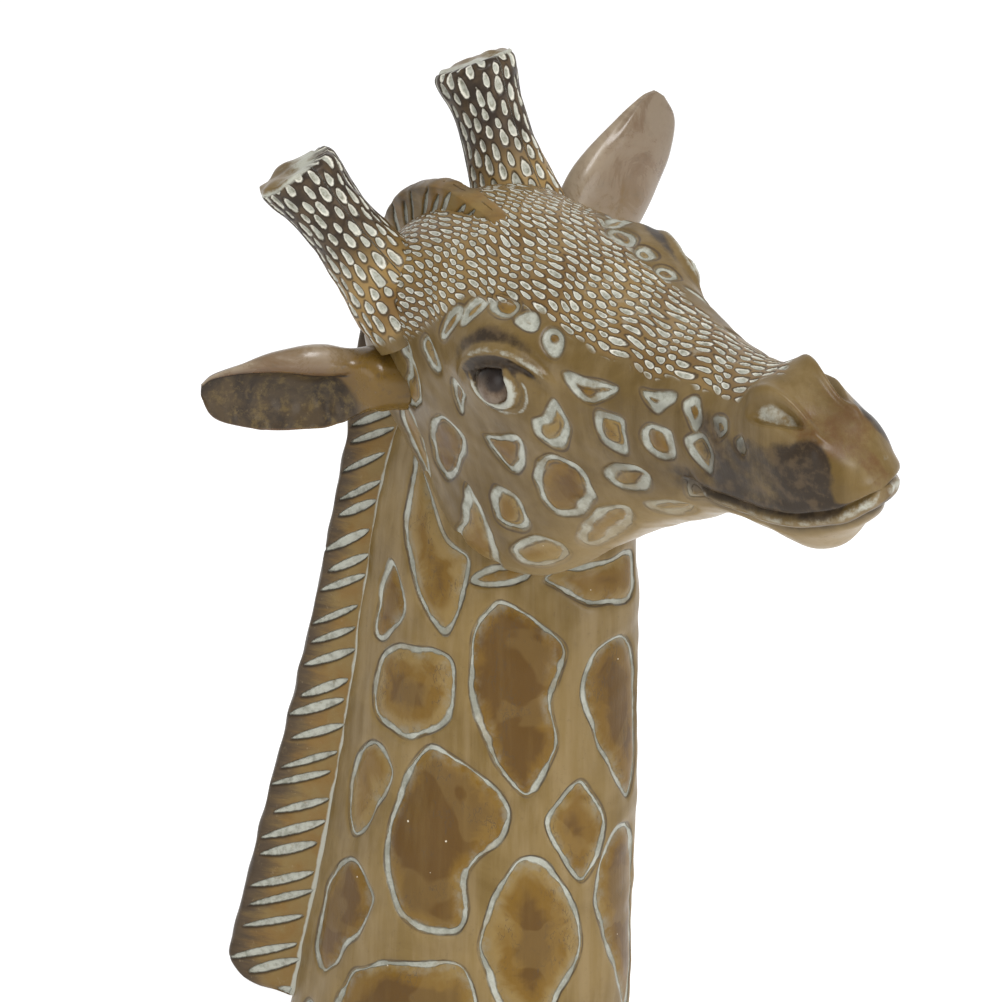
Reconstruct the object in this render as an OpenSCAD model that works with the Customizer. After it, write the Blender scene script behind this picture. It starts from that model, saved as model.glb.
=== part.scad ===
// Giraffe bust carved from wooden blocks: a neck that widens to a flat foot, and a turned and
// tilted head, ears, horns, eyes and a mane that are pegged and glued to it.
// Millimetres. +Z up, the neck faces -Y, the origin is the middle of the foot on the table.

/* [Neck] */
// Height of the top of the neck block, inside the head's seat
neck_top = 290; // [284:2:300]
// Depth of the neck from front to back at the foot
foot_depth = 132; // [128:2:138]
// Width of the neck at the foot
foot_width = 92; // [86:2:100]

/* [Head] */
// Length of the head from the back of the skull to the muzzle
head_length = 245; // [240:1:250]
// Angle that the head is turned to its right
head_turn = 38; // [34:1:42]
// Angle that the head nods down
head_nod = 4; // [0:1:8]
// Angle that the head leans over to its right
head_tilt = 21; // [17:1:24]
// Radius of an eye
eye_r = 11; // [10:0.5:12]

/* [Horns and ears] */
// Length of a horn above its root
horn_length = 54; // [50:1:60]
// Radius of a horn at its top
horn_r = 14; // [12:0.5:15]
// Length of the right ear
right_ear_length = 71; // [64:1:74]
// Length of the left ear
left_ear_length = 77; // [72:1:82]
// Width of an ear at its widest
ear_width = 38; // [34:1:40]

/* [Mane] */
// Thickness of the mane where it meets the neck
mane_root_t = 16; // [14:1:18]
// Thickness of the mane along its outer edge
mane_edge_t = 7; // [5:0.5:9]
// Thickness of the crest between the horns
crest_t = 13; // [10:1:14]

/* [Pegs and felt] */
// Radius of the dowel between the neck and the head
neck_dowel_r = 8; // [6:0.5:9]
// Radius of a horn's dowel
horn_dowel_r = 4; // [3:0.5:5]
// Radius of the pegs of the ears, the mane and the crest
peg_r = 2.5; // [2:0.5:3]
// Thickness of the felt under the foot
felt_t = 2; // [1.5:0.5:3]
// How far the felt stays inside the foot's edge
felt_inset = 5; // [3:1:10]

/* [Hidden] */

// Clearance of a peg in its bore, and of a set-in piece against its seat
play = 0.15;

// Sides of the neck: height, front, back and half width, from the foot to the top
neck_stations = [
    [felt_t, -foot_depth / 2, foot_depth / 2, foot_width / 2],
    [60, -foot_depth / 2 - 1, 57, foot_width / 2 - 2],
    [100, -foot_depth / 2 - 2, 50, foot_width / 2 - 4],
    [155, -foot_depth / 2 - 3.5, 40, foot_width / 2 - 8],
    [210, -foot_depth / 2 - 3.5, 32, foot_width / 2 - 10],
    [245, -foot_depth / 2, 26, foot_width / 2 - 12],
    [270, -52, 18, 30],
    [neck_top, -38, 10, 24],
];

// Share of its width that the neck loses towards the mane
rear_wedge = 0.35;

// Sides of the head along its own length: distance ahead of the ears, top, bottom,
// half width and the height of the widest line
head_stations = [
    [-37, 6, -22, 10, -8],
    [-33, 20, -34, 22, -8],
    [-24, 34, -46, 32, -6],
    [0, 49, -62, 39, -3],
    [24, 53, -74, 43, 10],
    [46, 50, -75, 44, 20],
    [72, 43, -62, 42, 18],
    [98, 34, -47, 33, 10],
    [122, 30, -37, 26, 2],
    [140, 28, -29, 23, 1],
    [160, 27, -30, 21, 0],
    [178, 30, -29, 20, 1],
    [192, 18, -22, 16, 0],
    [203, 9, -13, 11, 0],
    [208, 3, -5, 5, 0],
];
// The head's origin, between the roots of the ears
head_at = [-10, -15, 301];
head_back = head_stations[0][0];
head_nominal = head_stations[len(head_stations) - 1][0] - head_back;

// Places in the head's own frame: ahead, to its left, up
eye_at = [64, 37, 15];
brow_at = [62, 34, 26];
brow_r = 15;
horn_at = [1, 29, 31];
horn_lean = 23; // backwards from upright
horn_splay = 13; // outwards
horn_root = 16; // how deep a horn's foot is let into the skull
ear_at = [0, 34, -2];
// Each ear's angles backwards and up, and its length, since the two aren't held alike
right_ear_pose = [26, 19, right_ear_length];
left_ear_pose = [0, 37, left_ear_length];
neck_dowel_at = [14, 1, -62];
neck_dowel_len = 70;
horn_dowel_len = 40;
ear_peg_len = 30;
crest_peg_len = 16;
crest_peg_at = [[-12, 43, -20], [-32, 18, -70]]; // ahead, up, lean

// Sides of the mane: height, root and outer edge, from the lower end up
mane_stations = [
    [45, 49, 56],
    [49, 47, 74],
    [58, 45, 81.5],
    [66, 44, 80.5],
    [90, 40, 74],
    [125, 34, 65.5],
    [153, 28, 58],
    [182, 24, 51],
    [211, 20, 44.5],
    [232, 16, 40],
    [261, 12, 35],
    [296, 4, 30],
];
mane_peg_z = [94, 146, 201];
mane_peg_len = 18;

coat = "#8f7448";
dark_coat = "#5a4630";
wash = "#b3ad93";

// ---- Lofting ----

// Value of column c at share u of the way from station i to the next, on a smooth curve
function curve(s, c, i, u) =
    let (
        n = len(s) - 1,
        before = s[max(i - 1, 0)],
        from = s[i],
        to = s[min(i + 1, n)],
        after = s[min(i + 2, n)],
        span = to[0] - from[0],
        slope0 = (to[c] - before[c]) / (to[0] - before[0]) * span,
        slope1 = (after[c] - from[c]) / (after[0] - from[0]) * span,
        u2 = u * u,
        u3 = u2 * u
    )
    from[c] * (2 * u3 - 3 * u2 + 1) + slope0 * (u3 - 2 * u2 + u)
        + to[c] * (3 * u2 - 2 * u3) + slope1 * (u3 - u2);

// The stations, with `steps` places along each gap between two of them
function fill(s, steps) = [
    for (i = [0 : len(s) - 2], k = [0 : steps - 1])
        let (u = k / steps)
        [
            for (c = [0 : len(s[0]) - 1])
                c == 0 ? s[i][0] + (s[i + 1][0] - s[i][0]) * u : curve(s, c, i, u)
        ],
    s[len(s) - 1],
];

function power(v, p) = sign(v) * pow(abs(v), p);

// A closed solid through rings with the same number of points
module skin(rings) {
    n = len(rings[0]);
    last = len(rings) - 1;
    polyhedron(
        points = [for (r = rings) each r],
        faces = concat(
            [[for (i = [0 : n - 1]) i]],
            [
                for (k = [0 : last - 1], i = [0 : n - 1])
                    let (a = k * n + i, b = k * n + (i + 1) % n)
                    each [[a, a + n, b + n], [a, b + n, b]]
            ],
            [[for (i = [n - 1 : -1 : 0]) last * n + i]]
        )
    );
}

// ---- Frames ----

// The head's frame: x ahead, y to its left, z up
module in_head() {
    translate(head_at)
        rotate([0, 0, -90 - head_turn])
            rotate([0, head_nod, 0])
                rotate([head_tilt, 0, 0])
                    children();
}

// A horn's frame in the head: z along the horn; side is 1 for left and -1 for right
module in_horn(side) {
    translate([horn_at[0], side * horn_at[1], horn_at[2]])
        rotate([-side * horn_splay, 0, 0])
            rotate([0, -horn_lean, 0])
                children();
}

// An ear's frame in the head: x along the ear, z across its leaf; pose is back and up
module in_ear(side, pose) {
    translate([ear_at[0], side * ear_at[1], ear_at[2]])
        rotate([0, 0, side * (90 + pose[0])])
            rotate([0, -pose[1], 0])
                mirror([0, side > 0 ? 1 : 0, 0])
                    children();
}

// ---- Outer shapes ----

// The ring of the neck at a station
function neck_ring(s, ring_n = 40) =
    let (mid = (s[1] + s[2]) / 2, deep = (s[2] - s[1]) / 2)
    [
        for (i = [0 : ring_n - 1])
            let (a = 360 * i / ring_n, wedge = 1 - rear_wedge * pow(max(sin(a), 0), 2))
            [s[3] * wedge * power(cos(a), 0.92), mid + deep * power(sin(a), 0.95), s[0]]
    ];

module neck_body() {
    skin([for (s = fill(neck_stations, 3)) neck_ring(s)]);
}

module head_body() {
    ring_n = 40;
    stretch = head_length / head_nominal;
    skin([
        for (s = fill(head_stations, 2))
            [
                for (i = [0 : ring_n - 1])
                    let (a = 360 * i / ring_n, reach = sin(a) > 0 ? s[1] - s[4] : s[4] - s[2])
                    [
                        head_back + (s[0] - head_back) * stretch,
                        s[3] * power(cos(a), 0.9),
                        s[4] + reach * power(sin(a), 0.9),
                    ]
            ]
    ]);
}

// A wedge-shaped ring of the mane at a station
function mane_ring(s) =
    let (root = mane_root_t / 2, edge = mane_edge_t / 2, belly = s[1] + (s[2] - s[1]) * 0.35)
    [
        [-root, s[1], s[0]],
        [root, s[1], s[0]],
        [root * 0.95, belly, s[0]],
        [edge + 1, s[2] - 3, s[0]],
        [edge * 0.6, s[2], s[0]],
        [-edge * 0.6, s[2], s[0]],
        [-edge - 1, s[2] - 3, s[0]],
        [-root * 0.95, belly, s[0]],
    ];

// Half width of an ear at a share of its length: a narrow root, a full middle and a point
function ear_half(t) = max(ear_width / 2 * pow(sin(180 * pow(t * 0.93 + 0.07, 0.8)), 0.75), 1.6);

// The leaf of an ear, hollowed along its front
module ear_body(length) {
    steps = 16;
    ring_n = 20;
    skin([
        for (k = [0 : steps])
            let (t = k / steps, half = ear_half(t), thick = 3.4 + 6 * pow(1 - t, 2.2))
            [
                for (i = [0 : ring_n - 1])
                    let (
                        a = -360 * i / ring_n,
                        z = half * cos(a),
                        cup = 5 * (1 - pow(z / half, 2)) * sin(180 * min(1, t * 1.2))
                    )
                    [t * length, thick * sin(a) - cup, z - 4 * sin(180 * t)]
            ]
    ]);
}

// A horn, or with `grow` the seat that its foot is let into
module horn_body(grow = 0) {
    rotate_extrude($fn = 48)
        polygon([
            [0, -horn_root - grow],
            [17 + grow, -horn_root - grow],
            [17 + grow, -4],
            [14.5 + grow, 8],
            [12.6 + grow, 20],
            [12 + grow, horn_length - 22],
            [horn_r - 0.6 + grow, horn_length - 8],
            [horn_r + grow, horn_length - 3],
            [horn_r - 1.5 + grow, horn_length + grow],
            [0, horn_length + grow],
        ]);
}

// An eyeball, or with `grow` its socket
module eye_ball(side, grow = 0) {
    translate([eye_at[0], side * eye_at[1], eye_at[2]])
        sphere(r = eye_r + grow, $fn = 48);
}

// ---- Pegs, with `grow` their bores ----

module neck_peg(grow = 0) {
    in_head()
        translate(neck_dowel_at)
            cylinder(r = neck_dowel_r + grow, h = neck_dowel_len + 2 * grow, center = true, $fn = 48);
}

module horn_peg(side, grow = 0) {
    in_horn(side)
        translate([0, 0, -horn_root])
            cylinder(r = horn_dowel_r + grow, h = horn_dowel_len + 2 * grow, center = true, $fn = 32);
}

module ear_peg(side, pose, grow = 0) {
    in_ear(side, pose)
        rotate([0, 90, 0])
            cylinder(r = peg_r + grow, h = ear_peg_len + 2 * grow, center = true, $fn = 32);
}

module mane_peg_set(grow = 0) {
    for (z = mane_peg_z)
        translate([0, lookup(z, [for (s = neck_stations) [s[0], s[2]]]), z])
            rotate([90, 0, 0])
                cylinder(r = peg_r + grow, h = mane_peg_len + 2 * grow, center = true, $fn = 32);
}

module crest_peg_set(grow = 0) {
    for (at = crest_peg_at)
        translate([at[0], 0, at[1]])
            rotate([0, at[2], 0])
                cylinder(r = peg_r + grow, h = crest_peg_len + 2 * grow, center = true, $fn = 32);
}

// ---- Sub-parts ----

// Makes one plain skin of its children
module one_skin() {
    resize([0, 0, 0]) children();
}

module neck() {
    color(coat)
        difference() {
            one_skin()
                difference() {
                    neck_body();
                    in_head() head_body();
                }
            neck_peg(play);
            mane_peg_set(play);
        }
}

// The head block before anything is let into it
module head_blank() {
    difference() {
        union() {
            head_body();
            for (side = [-1, 1])
                translate([brow_at[0], side * brow_at[1], brow_at[2]])
                    sphere(r = brow_r, $fn = 32);
        }
        in_ear(-1, right_ear_pose) ear_body(right_ear_length);
        in_ear(1, left_ear_pose) ear_body(left_ear_length);
    }
}

module head() {
    color(coat)
        difference() {
            in_head()
                difference() {
                    one_skin() head_blank();
                    for (side = [-1, 1]) {
                        eye_ball(side, play);
                        in_horn(side) horn_body(play);
                        horn_peg(side, play);
                    }
                    ear_peg(-1, right_ear_pose, play);
                    ear_peg(1, left_ear_pose, play);
                    crest_peg_set(play);
                }
            neck_peg(play);
        }
}

module mane() {
    color(dark_coat)
        difference() {
            one_skin()
                difference() {
                    skin([for (s = fill(mane_stations, 2)) mane_ring(s)]);
                    neck_body();
                    in_head() head_body();
                }
            mane_peg_set(play);
        }
}

// Side view of the mane's top end, ahead and up in the head
module crest_outline() {
    offset(r = 4, $fn = 24)
        polygon([[22, 40], [16, 48], [2, 51], [-12, 49], [-26, 40], [-35, 28], [-39, 14], [-32, 6]]);
}

// The mane's top end: a rounded plate that stands on the skull between the horns
module crest() {
    color(dark_coat)
        in_head()
            difference() {
                one_skin()
                    difference() {
                        rotate([90, 0, 0])
                            linear_extrude(height = crest_t, center = true)
                                crest_outline();
                        head_body();
                    }
                crest_peg_set(play);
            }
}

module ear(side, pose) {
    color(dark_coat)
        in_head()
            difference() {
                in_ear(side, pose) ear_body(pose[2]);
                ear_peg(side, pose, play);
                in_horn(side) horn_body(play);
            }
}

module horn(side) {
    color(wash)
        in_head()
            difference() {
                in_horn(side) horn_body();
                horn_peg(side, play);
            }
}

module eye(side) {
    color("#3b2f27")
        in_head()
            eye_ball(side);
}

module neck_dowel() {
    color("burlywood") neck_peg();
}

module horn_dowel(side) {
    color("burlywood") in_head() horn_peg(side);
}

module ear_dowel(side, pose) {
    color("burlywood") in_head() ear_peg(side, pose);
}

module mane_pegs() {
    color("burlywood") mane_peg_set();
}

module crest_pegs() {
    color("burlywood") in_head() crest_peg_set();
}

module foot_felt() {
    color("#2c2a28")
        linear_extrude(height = felt_t)
            offset(delta = -felt_inset)
                polygon([for (p = neck_ring(neck_stations[0])) [p[0], p[1]]]);
}

neck();
head();
mane();
crest();
ear(-1, right_ear_pose);  // right_ear
ear(1, left_ear_pose);  // left_ear
horn(-1);  // right_horn
horn(1);  // left_horn
eye(-1);  // right_eye
eye(1);  // left_eye
neck_dowel();
horn_dowel(-1);  // right_horn_dowel
horn_dowel(1);  // left_horn_dowel
ear_dowel(-1, right_ear_pose);  // right_ear_peg
ear_dowel(1, left_ear_pose);  // left_ear_peg
mane_pegs();
crest_pegs();
foot_felt();
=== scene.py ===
"""Looks of the carved giraffe bust. Lengths are in millimetres until a mesh is made."""
import math

import bpy
import numpy as np
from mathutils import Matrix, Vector


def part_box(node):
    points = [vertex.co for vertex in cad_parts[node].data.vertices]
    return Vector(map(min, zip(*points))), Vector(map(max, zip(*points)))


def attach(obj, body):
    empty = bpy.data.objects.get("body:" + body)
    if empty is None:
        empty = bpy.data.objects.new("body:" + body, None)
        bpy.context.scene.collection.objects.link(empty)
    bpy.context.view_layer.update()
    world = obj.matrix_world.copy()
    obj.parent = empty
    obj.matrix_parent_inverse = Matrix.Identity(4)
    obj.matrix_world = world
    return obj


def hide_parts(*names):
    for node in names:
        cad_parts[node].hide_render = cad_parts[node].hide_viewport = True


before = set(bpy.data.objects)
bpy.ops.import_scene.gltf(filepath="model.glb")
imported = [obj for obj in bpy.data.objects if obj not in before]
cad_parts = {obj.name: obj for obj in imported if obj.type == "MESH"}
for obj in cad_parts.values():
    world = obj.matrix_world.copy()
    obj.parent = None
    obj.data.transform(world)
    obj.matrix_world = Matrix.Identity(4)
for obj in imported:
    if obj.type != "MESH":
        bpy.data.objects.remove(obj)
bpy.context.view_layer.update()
MM = 0.001

# ---- Shapes of the design, in millimetres ----

# The head's frame: ahead, to its left, up
HEAD_AT = (-10, -15, 301)
HEAD_TURN, HEAD_NOD, HEAD_TILT = 38, 4, 21

# Sides of the neck: height, front, back, half width
NECK = [
    (2, -66, 66, 46), (60, -67, 54, 44), (100, -68, 46, 42), (155, -69.5, 36, 38),
    (210, -69.5, 28, 36), (245, -66, 22, 34), (270, -52, 14, 30), (290, -38, 8, 24),
]
REAR_WEDGE = 0.35

# Sides of the head: ahead, top, bottom, half width, height of the widest line, and how
# square the lower half is
HEAD = [
    (-37, 6, -22, 10, -8, 0.9), (-33, 20, -34, 22, -8, 0.85), (-24, 34, -46, 32, -6, 0.75),
    (0, 49, -62, 39, -3, 0.5), (24, 53, -74, 42, 4, 0.32), (46, 49, -74, 41, 8, 0.3),
    (72, 42, -60, 39, 10, 0.5), (98, 34, -47, 32, 8, 0.7), (122, 30, -36, 26, 2, 0.8),
    (140, 28, -28, 23, 1, 0.8), (160, 27, -27, 21, 0, 0.75), (178, 26, -25, 20, 0, 0.75),
    (192, 19, -19, 16, 0, 0.85), (203, 10, -12, 11, 0, 0.9), (208, 3, -5, 5, 0, 0.9),
]

# Sides of the mane: height, root, outer edge
MANE = [
    (45, 49, 56), (49, 47, 74), (58, 45, 81.5), (66, 44, 80.5), (90, 40, 74), (125, 34, 65.5),
    (153, 28, 58), (182, 24, 51), (211, 20, 44.5), (232, 16, 40), (261, 12, 35), (296, 4, 30),
]

# ---- Small mathematics ----


def rotation(axis, degrees):
    c, s = math.cos(math.radians(degrees)), math.sin(math.radians(degrees))
    i, j = {"x": (1, 2), "y": (2, 0), "z": (0, 1)}[axis]
    m = np.eye(3)
    m[i, i] = m[j, j] = c
    m[i, j], m[j, i] = -s, s
    return m


HEAD_AXES = rotation("z", -90 - HEAD_TURN) @ rotation("y", HEAD_NOD) @ rotation("x", HEAD_TILT)


def to_row(p):
    """Points of the head's frame in the row's frame."""
    return np.asarray(p, float) @ HEAD_AXES.T + np.array(HEAD_AT, float)


def through(stations, x):
    """Rows of the station table at x, on smooth curves through the stations. The first column is x."""
    s = np.array(stations, float)
    slope = np.gradient(s, s[:, 0], axis=0)
    slope[1:-1] = (s[2:] - s[:-2]) / (s[2:, :1] - s[:-2, :1])
    x = np.clip(np.asarray(x, float), s[0, 0], s[-1, 0])
    i = np.clip(np.searchsorted(s[:, 0], x) - 1, 0, len(s) - 2)
    span = (s[i + 1, 0] - s[i, 0])[..., None]
    u = (x - s[i, 0])[..., None] / span
    return (
        s[i] * (2 * u**3 - 3 * u**2 + 1) + slope[i] * span * (u**3 - 2 * u**2 + u)
        + s[i + 1] * (3 * u**2 - 2 * u**3) + slope[i + 1] * span * (u**3 - u**2)
    )


def between(table, x):
    """The second column of the table at places x of its first, on straight lines."""
    return np.interp(x, *zip(*table))


def power(v, p):
    return np.sign(v) * np.abs(v) ** p


def step(x, low, high):
    """0 below low, 1 above high and smooth between; low may be the larger."""
    t = np.clip((x - low) / (high - low), 0, 1)
    return t * t * (3 - 2 * t)


def bump(d):
    return np.exp(-0.5 * d * d)


def ripple(p, length, seed, waves=8):
    """Smooth unevenness between about -1 and 1 at points p, with swells about `length` apart."""
    rng = np.random.default_rng(seed)
    total = np.zeros(p.shape[:-1])
    for _ in range(waves):
        k = rng.normal(size=p.shape[-1])
        k *= 2 * np.pi / (length * rng.uniform(0.7, 1.6) * np.linalg.norm(k))
        total += np.sin(p @ k + rng.uniform(0, 2 * np.pi))
    return total / math.sqrt(waves)


def even_rows(p, count):
    """The points along axis 0 moved to `count` places at even distances, by the middle of each row."""
    gap = np.linalg.norm(np.diff(p, axis=0), axis=-1).mean(1)
    at = np.concatenate([[0], np.cumsum(gap)])
    want = np.linspace(0, at[-1], count)
    i = np.clip(np.searchsorted(at, want) - 1, 0, len(at) - 2)
    u = ((want - at[i]) / (at[i + 1] - at[i]))[:, None, None]
    return p[i] * (1 - u) + p[i + 1] * u


def even_ring(ring, count):
    """`count` places at even distances round a closed ring that starts at its first point, and the
    distance of each from the start."""
    closed = np.vstack([ring, ring[:1]])
    at = np.concatenate([[0], np.cumsum(np.linalg.norm(np.diff(closed, axis=0), axis=1))])
    want = np.linspace(0, at[-1], count, endpoint=False)
    return np.stack([np.interp(want, at, closed[:, k]) for k in range(3)], -1), want, at[-1]


def normals(p):
    """Unit normals of a grid that is closed along axis 1."""
    along = np.gradient(p, axis=0)
    across = np.roll(p, -1, 1) - np.roll(p, 1, 1)
    n = np.cross(across, along)
    return n / np.maximum(np.linalg.norm(n, axis=-1, keepdims=True), 1e-9)


# ---- Meshes ----


def grid_piece(name, p, layers, material, node):
    """A closed mesh from a grid of points p, closed along axis 1 and capped at both ends.
    layers holds one number per point for each name that the material reads."""
    rows, cols = p.shape[:2]
    verts = np.concatenate([p.reshape(-1, 3), [p[0].mean(0)], [p[-1].mean(0)]]) * MM
    k = np.arange(cols)
    nxt = (k + 1) % cols
    faces = []
    for r in range(rows - 1):
        a = r * cols
        faces += np.stack([a + k, a + nxt, a + cols + nxt, a + cols + k], 1).tolist()
    first, last, top = rows * cols, rows * cols + 1, (rows - 1) * cols
    faces += [[first, int(nxt[i]), int(i)] for i in k]
    faces += [[last, int(top + i), int(top + nxt[i])] for i in k]
    mesh = bpy.data.meshes.new(name)
    mesh.from_pydata(verts.tolist(), [], faces)
    mesh.polygons.foreach_set("use_smooth", [True] * len(mesh.polygons))
    for label, values in layers.items():
        v = np.asarray(values, float)
        flat = np.concatenate([v.ravel(), [v[0].mean()], [v[-1].mean()]])
        layer = mesh.attributes.new(label, "FLOAT", "POINT")
        layer.data.foreach_set("value", flat.astype(np.float32))
    mesh.update()
    piece = bpy.data.objects.new(name, mesh)
    bpy.context.scene.collection.objects.link(piece)
    mesh.materials.append(material)
    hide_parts(node)
    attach(piece, "root")


# ---- Carved outlines ----

# Each kind of outline in a square from -1 to 1
OUTLINES = {
    "oval": [(1, 0), (0.7, 0.75), (0, 1), (-0.75, 0.7), (-1, 0), (-0.7, -0.75), (0, -1), (0.75, -0.7)],
    "kidney": [
        (-0.35, 1), (0.55, 0.75), (1, 0.5), (0.7, 0), (0.85, -0.5), (0.45, -0.9), (0.1, -1),
        (-0.5, -0.65), (-0.95, 0.05), (-0.85, 0.65),
    ],
    "leaf": [
        (-0.25, 1), (-0.8, 0.8), (-1, 0.35), (-0.5, -0.3), (0.55, -1), (1, -0.4), (0.9, 0.4), (0.4, 0.9),
    ],
    "five": [(-0.55, 0.8), (0.75, 1), (1, 0.2), (0.75, -0.65), (-0.05, -1), (-0.8, -0.75), (-1, -0.05)],
    "bulged": [
        (-0.25, 1), (0.45, 0.8), (1, 0.25), (0.4, -0.3), (0.3, -0.9), (-0.2, -1), (-0.75, -0.8),
        (-1, -0.2), (-0.7, 0.6),
    ],
    "diamond": [(0.1, 1), (1, 0.1), (0.65, -0.75), (0.15, -1), (-0.85, -0.2), (-1, 0.4)],
    "drop": [
        (-0.1, 1), (0.85, 0.45), (1, -0.05), (0.55, -0.55), (0.1, -1), (-0.6, -0.6), (-1, 0.05),
        (-0.7, 0.65),
    ],
    "slim": [(0.15, 1), (1, 0.5), (0.4, -0.3), (-0.45, -1), (-1, -0.6), (-0.8, 0.35)],
    "wedge": [
        (-0.1, 1), (0.3, 0.25), (0.95, -0.05), (0.8, -0.55), (0.2, -1), (-0.6, -0.5), (-1, 0.1),
        (-0.6, 0.8),
    ],
    "point": [(-0.1, 1), (1, 0.15), (0.7, -0.5), (-0.6, -1), (-1, -0.6)],
    "block": [(-1, 0.5), (-0.1, 1), (0.9, 0.7), (0.7, -0.9), (-0.3, -0.8), (-0.8, -0.2)],
    "three": [(-1, 0), (-0.2, 0.45), (0.85, 1), (1, 0.6), (0.75, 0), (0.1, -1), (-0.6, -0.8)],
    "bean": [
        (0.4, 1), (0.95, 0.6), (1, 0), (0.5, -0.65), (-0.3, -1), (-1, -0.7), (-0.8, -0.1), (-0.1, 0.3),
    ],
}


def smooth_loop(p, points):
    """A smooth closed curve through the points along the last axis but one, `points` steps for each."""
    a, b, c, d = (np.roll(p, k, -2)[..., None, :] for k in (1, 0, -1, -2))
    u = (np.arange(points) / points)[:, None]
    q = 0.5 * (2 * b + (c - a) * u + (2 * a - 5 * b + 4 * c - d) * u**2 + (3 * b - a - 3 * c + d) * u**3)
    return q.reshape(*p.shape[:-2], -1, p.shape[-1])


def outline(kind, x, y, wide, high, lean):
    """A closed curve through an outline's points, `wide` and `high` in all and turned by lean degrees."""
    q = smooth_loop(np.array(OUTLINES[kind], float) * (wide / 2, high / 2), 10)
    cs, sn = math.cos(math.radians(lean)), math.sin(math.radians(lean))
    return q @ np.array([(cs, sn), (-sn, cs)]) + (x, y)


# Stands for the distance where no outline is near
FAR = 30.0


def edge_distance(flat, spots):
    """Distance in millimetres from each place to the nearest outline, negative inside it, and a
    number from 0 to 1 that says which outline that is."""
    best = np.full(flat.shape[:-1], FAR)
    which = np.zeros(flat.shape[:-1])
    for n, spot in enumerate(spots):
        q = outline(*spot)
        lo, hi = q.min(0) - 8, q.max(0) + 8
        near = ((flat > lo) & (flat < hi)).all(-1)
        if not near.any():
            continue
        p = flat[near]
        a, b = q, np.roll(q, -1, 0)
        ab = b - a
        t = ((p[:, None] - a) * ab).sum(-1) / (ab * ab).sum(-1)
        d = np.linalg.norm(p[:, None] - a - ab * np.clip(t, 0, 1)[..., None], axis=-1).min(1)
        over = (a[:, 1] > p[:, None, 1]) != (b[:, 1] > p[:, None, 1])
        cut = a[:, 0] + (p[:, None, 1] - a[:, 1]) * ab[:, 0] / np.where(ab[:, 1] == 0, 1e-9, ab[:, 1])
        inside = (over & (p[:, None, 0] < cut)).sum(1) % 2 == 1
        d = np.where(inside, -d, d)
        closer = d < best[near]
        best[near] = np.where(closer, d, best[near])
        which[near] = np.where(closer, (0.9 + 0.62 * n) % 1, which[near])
    return best, which


def groove(edge):
    """Height of the surface by its distance from an outline: a cut just inside it, with a soft
    inner side."""
    off = edge + 1.1
    cut = bump(off / np.where(off > 0, 0.9, 1.8))
    return -cut - 0.35 * step(-edge, 0, 3)


# Half length and half width of a gouge mark, as shares of its cell
MARK_LONG, MARK_WIDE = 0.45, 0.34


def scale_cell(p, q):
    """Distance from the middle of the gouge mark of the cell that holds (p, q): 1 at its rim.
    The material works out the same with nodes."""
    j = np.floor(q)
    shifted = p + 0.5 * np.mod(j, 2)
    i = np.floor(shifted)
    x = shifted - i - 0.5 + 0.09 * np.sin(2.4 * i + 5.1 * j)
    y = q - j - 0.5 + 0.08 * np.sin(4.7 * i + 1.3 * j)
    size = 1 + 0.16 * np.sin(3.1 * i - 2.2 * j)
    return np.hypot(x / MARK_LONG, y / MARK_WIDE * (1 + 0.6 * x)) / size


def pits(p, q, zone, depth):
    return -depth * zone * step(scale_cell(p, q), 1.15, 0.35)


# ---- Materials ----


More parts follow.
